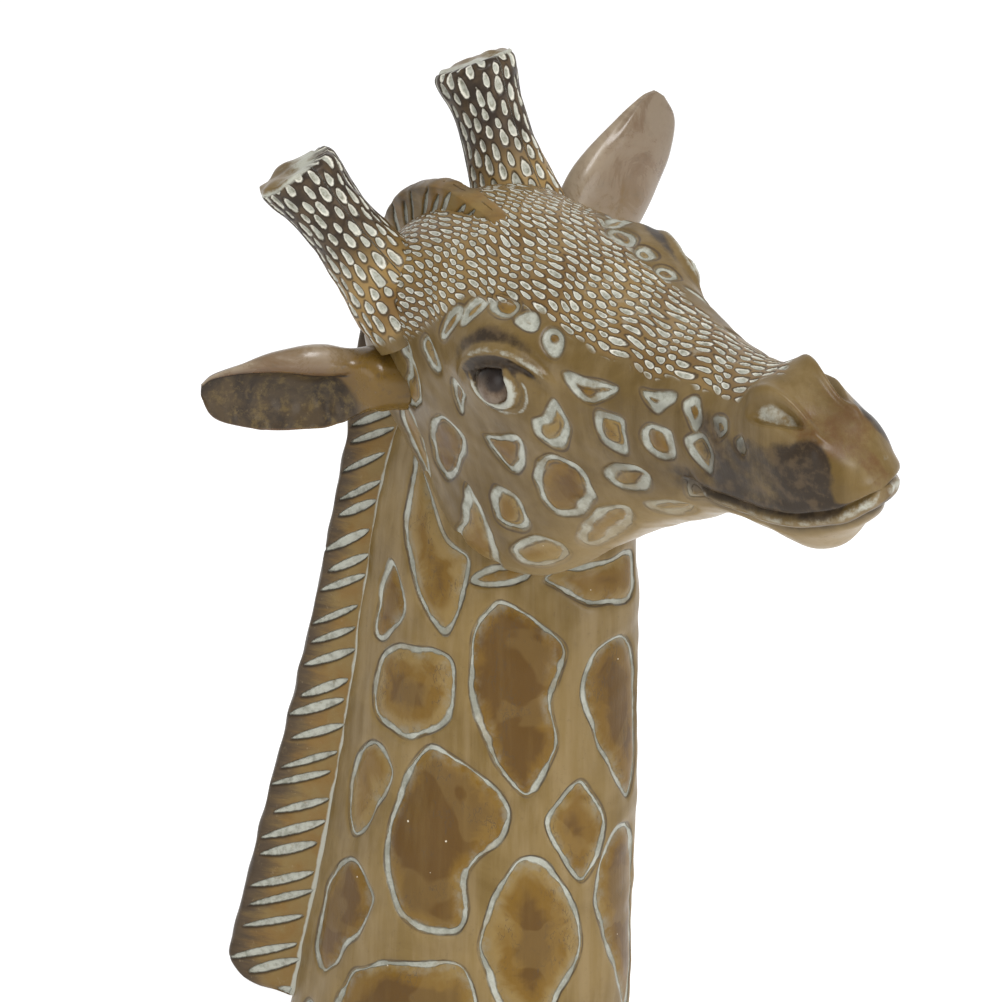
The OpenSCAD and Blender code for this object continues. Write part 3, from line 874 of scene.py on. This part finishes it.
# Height above the root and radius
HORN = [
    (-15, 17), (-6, 17), (2, 16.2), (10, 14.6), (20, 12.9), (32, 12.1), (42, 12.9), (49, 14.1),
    (52, 14.3), (54, 13.2),
]
# Length of a gouged mark's cell on a horn, and how many there are round it
HORN_MARK, HORN_MARKS_ROUND = 7.2, 20


def make_horn(name, way, node, material):
    rows, cols = 200, 200
    sides = through(HORN, np.linspace(HORN[0][0], HORN[-1][0], rows))
    turn = np.linspace(0, 2 * np.pi, cols, endpoint=False)
    c, s = np.cos(turn), np.sin(turn)
    radius = sides[:, 1:2] * (1 + 0.03 * np.sin(3 * turn + 1.0) + 0.02 * np.sin(5 * turn))
    p = np.stack([radius * c, radius * s, np.repeat(sides[:, :1], cols, 1)], -1)
    # The knife-cut top, which slopes down to the front and to the middle of the head
    tops = []
    for share in np.linspace(0.93, 0.06, 26):
        height = np.full(cols, HORN[-1][0] + 0.3 * (1 - share))
        tops.append(np.stack([p[-1, :, 0] * share, p[-1, :, 1] * share, height], -1))
    p = np.concatenate([p, np.array(tops)])
    up = p[..., 2]
    up += step(up, 30, 54) * (0.10 * way * p[..., 1] - 0.07 * p[..., 0])
    n = normals(p)
    top = step(up, 52.8, 53.8)
    zone = step(up, -12, -8) * (1 - top)
    mark_p = up / HORN_MARK + 0.15 * ripple(p, 16, 21 + way)
    mark_q = np.broadcast_to(turn / (2 * np.pi) * HORN_MARKS_ROUND, up.shape) + 100
    high = pits(mark_p, mark_q, zone, 0.9) + 0.25 * ripple(p, 12, 22)
    high = high + top * 0.6 * ripple(p, 9, 23 + way)
    axes = rotation("x", -way * HORN_SPLAY) @ rotation("y", -HORN_LEAN)
    out = (p + n * high[..., None]) @ axes.T + (HORN_AT[0], way * HORN_AT[1], HORN_AT[2])
    zero = np.zeros(up.shape)
    layers = {
        "edge": zero + 20, "spot": zero, "shade": 0.12 * ripple(p, 30, 24) + 0.2 * bump((up - 50) / 5),
        "wash": 0.35 * top + 0.5 * bump((up - 53.2) / 0.8), "zone": zone, "mark_p": mark_p,
        "mark_q": mark_q, "dark": step(up, 6, 30), "under": zero,
    }
    grid_piece(name, to_row(out), layers, material, node)


# ---- Mane and crest ----


def fin_grid(root, edge, side, root_half, edge_half, cols):
    """A plate that stands along the points `root` and reaches the points `edge`. side is the unit
    direction across it. Also gives each point's share of the way out."""
    rise = 0.5 - 0.5 * np.cos(np.linspace(0, np.pi, cols // 2))
    share = np.concatenate([rise, rise[::-1]])
    half = edge_half + (root_half - edge_half) * (1 - share**1.4)
    half = half * np.sqrt(np.clip(1 - np.clip((share - 0.93) / 0.07, 0, 1) ** 2, 0, 1))
    half = np.where(np.arange(cols) < cols // 2, -half, half)
    p = root[:, None] + (edge - root)[:, None] * share[:, None] + half[:, None] * np.array(side)
    return p, np.broadcast_to(share, p.shape[:2])


def cuts(along, share, pitch, slope, span, seed, widest):
    """Distance from the middle line of the nearest cut, and half the cut's thickness there. The cuts
    are pitch apart and, over the span from root to edge, shift along the plate by slope."""
    x = (along + slope * share * span) / pitch
    number = np.floor(x)
    middle = number + 0.5 + 0.16 * np.sin(2.3 * number + seed) + 0.1 * (share - 0.5) * np.sin(4.1 * number)
    reach = 0.9 + 0.06 * np.sin(3.7 * number + seed)
    t = np.clip((share - 0.07 - 0.04 * np.sin(1.9 * number)) / (reach - 0.07), 0, 1)
    thick = widest * np.sin(np.pi * t**0.9) ** 0.6 * (0.9 + 0.14 * np.sin(5.3 * number))
    thick = np.where((t <= 0) | (t >= 1), -0.8, thick)
    return (x - middle) * pitch, thick


def fin_relief(cut, thick):
    off = np.abs(cut) - thick
    return -0.9 * step(off, 0.5, -0.7)


def make_mane(material):
    heights = np.linspace(MANE[0][0], MANE[-1][0], 360)
    sides = through(MANE, heights)
    # The mane's flank comes out of the neck where the neck is as narrow as the mane is thick
    neck, _ = neck_grid(120, 330)
    meets = np.where(np.abs(neck[..., 0]) > 7.8, neck[..., 1], -99).max(1)
    meets = np.interp(heights, neck[:, 0, 2], meets)
    zero = np.zeros(len(heights))
    root = np.stack([zero, np.minimum(meets - 4, sides[:, 2] - 6), heights], -1)
    edge = np.stack([zero, sides[:, 2], heights], -1)
    p, _ = fin_grid(root, edge, (-1, 0, 0), root_half=8.1, edge_half=3.4, cols=130)
    n = normals(p)
    clear = np.clip((p[..., 1] - meets[:, None]) / (sides[:, 2] - meets)[:, None], 0, 1)
    cut, thick = cuts(p[..., 2], clear, pitch=9.2, slope=0.36, span=28, seed=1.0, widest=2.1)
    p = p + n * (fin_relief(cut, thick) + 0.3 * ripple(p, 10, 31))[..., None]
    seam = p[..., 1] - meets[:, None] - between([(50, 2.2), (130, 1.0), (280, 0.8)], p[..., 2])
    # The below layer marks the lower side of each cut, where painted shade goes
    layers = {"out": clear, "cut": np.abs(cut), "below": step(-cut, 0, 0.6), "thick": thick, "seam": seam}
    grid_piece("mane_board", p, layers, material, "mane")


# Side of the crest in the head's frame, from the forelock back to the nape: share of the way,
# ahead and up of its outer edge, ahead and up of its root
CREST = [
    (0, 37, 50, 33, 44), (0.2, 25, 56, 20, 44), (0.45, 4, 59, 2, 42), (0.7, -23, 48.5, -14, 34),
    (0.88, -41, 29, -24, 20), (1, -43, 6, -30, 4),
]
CREST_LENGTH = 96


def make_crest(material):
    t = np.linspace(0, 1, 220)
    _, edge_x, edge_z, root_x, root_z = through(CREST, t).T
    edge = np.stack([edge_x, 0 * t, edge_z], -1)
    root = np.stack([root_x, 0 * t, root_z], -1)
    p, share = fin_grid(root, edge, (0, 1, 0), root_half=6.4, edge_half=3.0, cols=110)
    n = normals(p)
    along = np.repeat((t * CREST_LENGTH)[:, None], p.shape[1], 1)
    cut, thick = cuts(along, share, pitch=7.6, slope=0.5, span=16, seed=2.0, widest=1.8)
    p = p + n * (fin_relief(cut, thick) + 0.25 * ripple(p, 9, 32))[..., None]
    # The below layer marks the lower side of each cut, where painted shade goes
    layers = {
        "out": 0.5 * share**1.5 + 0.4 * t[:, None], "cut": np.abs(cut),
        "below": step(-cut, 0, 0.6), "thick": thick, "seam": 20 * share - 4,
    }
    grid_piece("crest_plate", to_row(p), layers, material, "crest")


# ---- Ears ----

EAR_AT = (0, 34, -2)
# Side of an ear along its length: share, top, fold and lower edge
EAR = [
    (0, 11, -1, -11), (0.1, 10.8, -4, -13.5), (0.2, 11, -0.5, -16), (0.3, 12, 0.8, -17.4),
    (0.4, 12.9, 1.4, -18.3), (0.5, 12.8, 2, -18.5), (0.6, 11.4, 2.6, -18.6), (0.7, 9.4, 3, -18.2),
    (0.8, 6.8, 3, -17), (0.9, 4.2, 2, -14.5), (0.96, 2.2, 0.8, -11), (1, -0.6, -1.4, -5),
]
# Steps from one point of an ear's section to the next
EAR_STEPS = 14


def make_ear(name, way, node, material, back, up, length, broad, facing):
    """An ear: a round stalk that opens into a leaf, hollow on one side and rolled over along its top."""
    t = np.linspace(0, 1, 150)
    _, top, fold, low = through(EAR, t).T
    roll = top - fold
    c = np.sin(np.pi * t**0.8)
    # Across and up, from the lower edge through the hollow and the rolled top, and back outside
    leaf = np.array([
        (0.4 + 0 * t, low),
        (-2.6 * c, 0.62 * low + 0.38 * fold),
        (-3.4 * c, 0.28 * low + 0.72 * fold),
        (-0.6 * c, fold - 0.3),
        (0.40 * roll, fold + 0.2 * roll),
        (0.48 * roll, fold + 0.58 * roll),
        (0.12 * roll, top),
        (-0.4 * roll, fold + 0.8 * roll),
        (-5.5 * c - 1.2, fold + 0.1 * roll),
        (-6.0 * c - 1.0, 0.55 * low + 0.45 * fold),
        (-3.0 * c - 0.5, 0.9 * low + 0.1 * fold),
    ]).transpose(2, 0, 1)
    points = leaf.shape[1]
    angle = np.radians(-70 + 360 / points * np.arange(points))
    stalk = np.stack([11.0 * np.cos(angle), 11.5 * np.sin(angle)], -1)[None]
    open_ = step(t, 0.14, 0.40)[:, None, None]
    section = smooth_loop(stalk * (1 - open_) + leaf * open_, EAR_STEPS) * (1, broad)
    if facing < 0:
        section = section[:, ::-1] * (-1, 1)
    out_from_head = np.broadcast_to((t * length)[:, None, None], (*section.shape[:2], 1))
    p = np.concatenate([out_from_head, section], -1)
    place = np.broadcast_to(np.arange(p.shape[1]) / EAR_STEPS, p.shape[:2])
    if facing < 0:
        place = place[:, ::-1]
    along = np.broadcast_to(t[:, None], p.shape[:2])
    ragged = 0.35 * ripple(p, 7, 43) * bump((place - 0.3 + points * (place > 6)) / 0.8)
    n = normals(p)
    p = p + (0.2 * ripple(p, 20, 41 + way) + ragged)[..., None] * n
    starts = 0.2 + 0.14 * (place / 3.1) ** 2
    inner = step(place, 0.0, 0.15) * step(place, 3.15, 3.0) * step(along - starts, 0, 0.04)
    # Painted shade along the line under the rolled top
    crease = bump((place - 3.1) / 0.16) * step(along, 0.26, 0.32)
    # Painted highlight along the back; the far ear is painted lighter over most of its length
    painted_sheen = bump((place - 6) / 0.8) * open_[..., 0] + 0.28 * (1 + way) * step(along, 0.1, 0.3)
    layers = {"inner": inner, "along": along, "crease": crease, "painted_sheen": np.clip(painted_sheen, 0, 1)}
    turned = rotation("z", way * (90 + back)) @ rotation("y", -up) @ np.diag([1.0, -way, 1.0])
    out = p @ turned.T + (EAR_AT[0], way * EAR_AT[1], EAR_AT[2])
    if np.linalg.det(turned) < 0:
        out, layers = out[:, ::-1], {k: v[:, ::-1] for k, v in layers.items()}
    grid_piece(name, to_row(out), layers, material, node)


# ---- Eyes ----


def make_eye(name, node, material):
    lo, hi = (np.array(c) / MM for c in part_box(node))
    centre, r = (lo + hi) / 2, (hi - lo).mean() / 2
    polar = np.linspace(0.02, np.pi - 0.02, 80)[:, None]
    turn = np.linspace(0, 2 * np.pi, 96, endpoint=False)[None]
    ring = np.sin(polar)
    p = np.stack([ring * np.cos(turn), ring * np.sin(turn), np.cos(polar) + 0 * turn], -1)
    way = math.copysign(1, ((centre - np.array(HEAD_AT)) @ HEAD_AXES)[1])
    # The lids stand over the ball's edge, so it sits a little deeper than in the plain design
    centre = centre + HEAD_AXES @ (0.6, -3.0 * way, 1.5)
    gaze = np.array([0.6, way, 0.55])
    gaze = HEAD_AXES @ (gaze / np.linalg.norm(gaze))
    ring = np.degrees(np.arccos(np.clip(p @ gaze, -1, 1))) / 60
    layers = {"ring": ring[::-1], "high": (p @ HEAD_AXES[:, 2])[::-1]}
    grid_piece(name, p[::-1] * r + centre, layers, material, node)


# ---- The carried-over pieces ----


def paint(names, material):
    for name in names:
        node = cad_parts[name]
        node.data.materials.clear()
        node.data.materials.append(material)


# ---- Stage ----


def stage():
    world = bpy.data.worlds.new("studio")
    bpy.context.scene.world = world
    world.use_nodes = True
    tree = world.node_tree
    toward = tree.nodes.new("ShaderNodeTexCoord").outputs["Generated"]
    dot = tree.nodes.new("ShaderNodeVectorMath")
    dot.operation = "DOT_PRODUCT"
    tree.links.new(toward, dot.inputs[0])
    dot.inputs[1].default_value = (0.96, 0.24, 0.1)
    level = tree.nodes.new("ShaderNodeMapRange")
    level.inputs["From Min"].default_value, level.inputs["From Max"].default_value = -0.5, 0.6
    level.inputs["To Min"].default_value, level.inputs["To Max"].default_value = 0.5, 1.15
    tree.links.new(dot.outputs["Value"], level.inputs["Value"])
    tree.nodes["Background"].inputs["Color"].default_value = (1, 1, 1, 1)
    tree.links.new(level.outputs[0], tree.nodes["Background"].inputs["Strength"])
    mesh = bpy.data.meshes.new("floor")
    half = 6.0
    corners = [(x * half, y * half, 0) for x, y in ((-1, -1), (1, -1), (1, 1), (-1, 1))]
    mesh.from_pydata(corners, [], [(0, 1, 2, 3)])
    floor = bpy.data.objects.new("floor", mesh)
    bpy.context.scene.collection.objects.link(floor)
    s = Shader("floor")
    colour = s.mix(s.span(s.noise(400, 3), 0.3, 0.7), (0.86, 0.86, 0.86), (0.9, 0.9, 0.9))
    mesh.materials.append(s.finish(colour, 0.6, s.relief(s.noise(3, 3), 0.05), coat=0))
    # A little light of its own, as of a lit table
    s.body.inputs["Emission Color"].default_value = (1, 1, 1, 1)
    s.body.inputs["Emission Strength"].default_value = 0.28


def light(name, at, aim, size, power_w):
    data = bpy.data.lights.new(name, "AREA")
    data.shape, data.size, data.energy = "DISK", size, power_w
    lamp = bpy.data.objects.new(name, data)
    bpy.context.scene.collection.objects.link(lamp)
    lamp.location = at
    lamp.rotation_euler = (Vector(aim) - Vector(at)).to_track_quat("-Z", "Y").to_euler()


def camera():
    target = Vector((-0.030, -0.028, 0.244))
    a, e = math.radians(-76), math.radians(15)
    back = Vector((math.sin(a) * math.cos(e), -math.cos(a) * math.cos(e), math.sin(e)))
    data = bpy.data.cameras.new("camera")
    data.lens, data.sensor_width = 177, 36
    cam = bpy.data.objects.new("camera", data)
    bpy.context.scene.collection.objects.link(cam)
    cam.location = target + back * 1.7
    cam.rotation_euler = (-back).to_track_quat("-Z", "Y").to_euler()
    bpy.context.scene.camera = cam


camera()
stage()
light("key", (-1.3, -0.9, 1.9), (-0.02, -0.03, 0.28), size=0.8, power_w=33)
light("fill", (-1.6, 0.6, 0.5), (0, 0, 0.25), size=0.8, power_w=4)
light("low", (-0.8, -1.5, 0.3), (0, 0, 0.22), size=0.8, power_w=7)
bpy.context.scene.view_settings.view_transform = "Standard"

coat = coat_material("coat", False)
marked_coat = coat_material("marked_coat", True)
fins = fin_material("mane_coat")
ears = ear_material("ear_coat")
eyes = eye_material("eye_coat")

make_eye("right_eyeball", "right_eye", eyes)
make_eye("left_eyeball", "left_eye", eyes)
make_neck(coat)
make_head(marked_coat)
make_mane(fins)
make_crest(fins)
make_horn("right_horn_carved", -1, "right_horn", marked_coat)
make_horn("left_horn_carved", 1, "left_horn", marked_coat)
make_ear("right_ear_leaf", -1, "right_ear", ears, back=26, up=19, length=71, broad=1, facing=1)
make_ear("left_ear_leaf", 1, "left_ear", ears, back=0, up=37, length=77, broad=1.2, facing=-1)
paint([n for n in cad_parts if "dowel" in n or "peg" in n], wood_material("peg_wood"))
paint(["foot_felt"], felt_material("felt"))
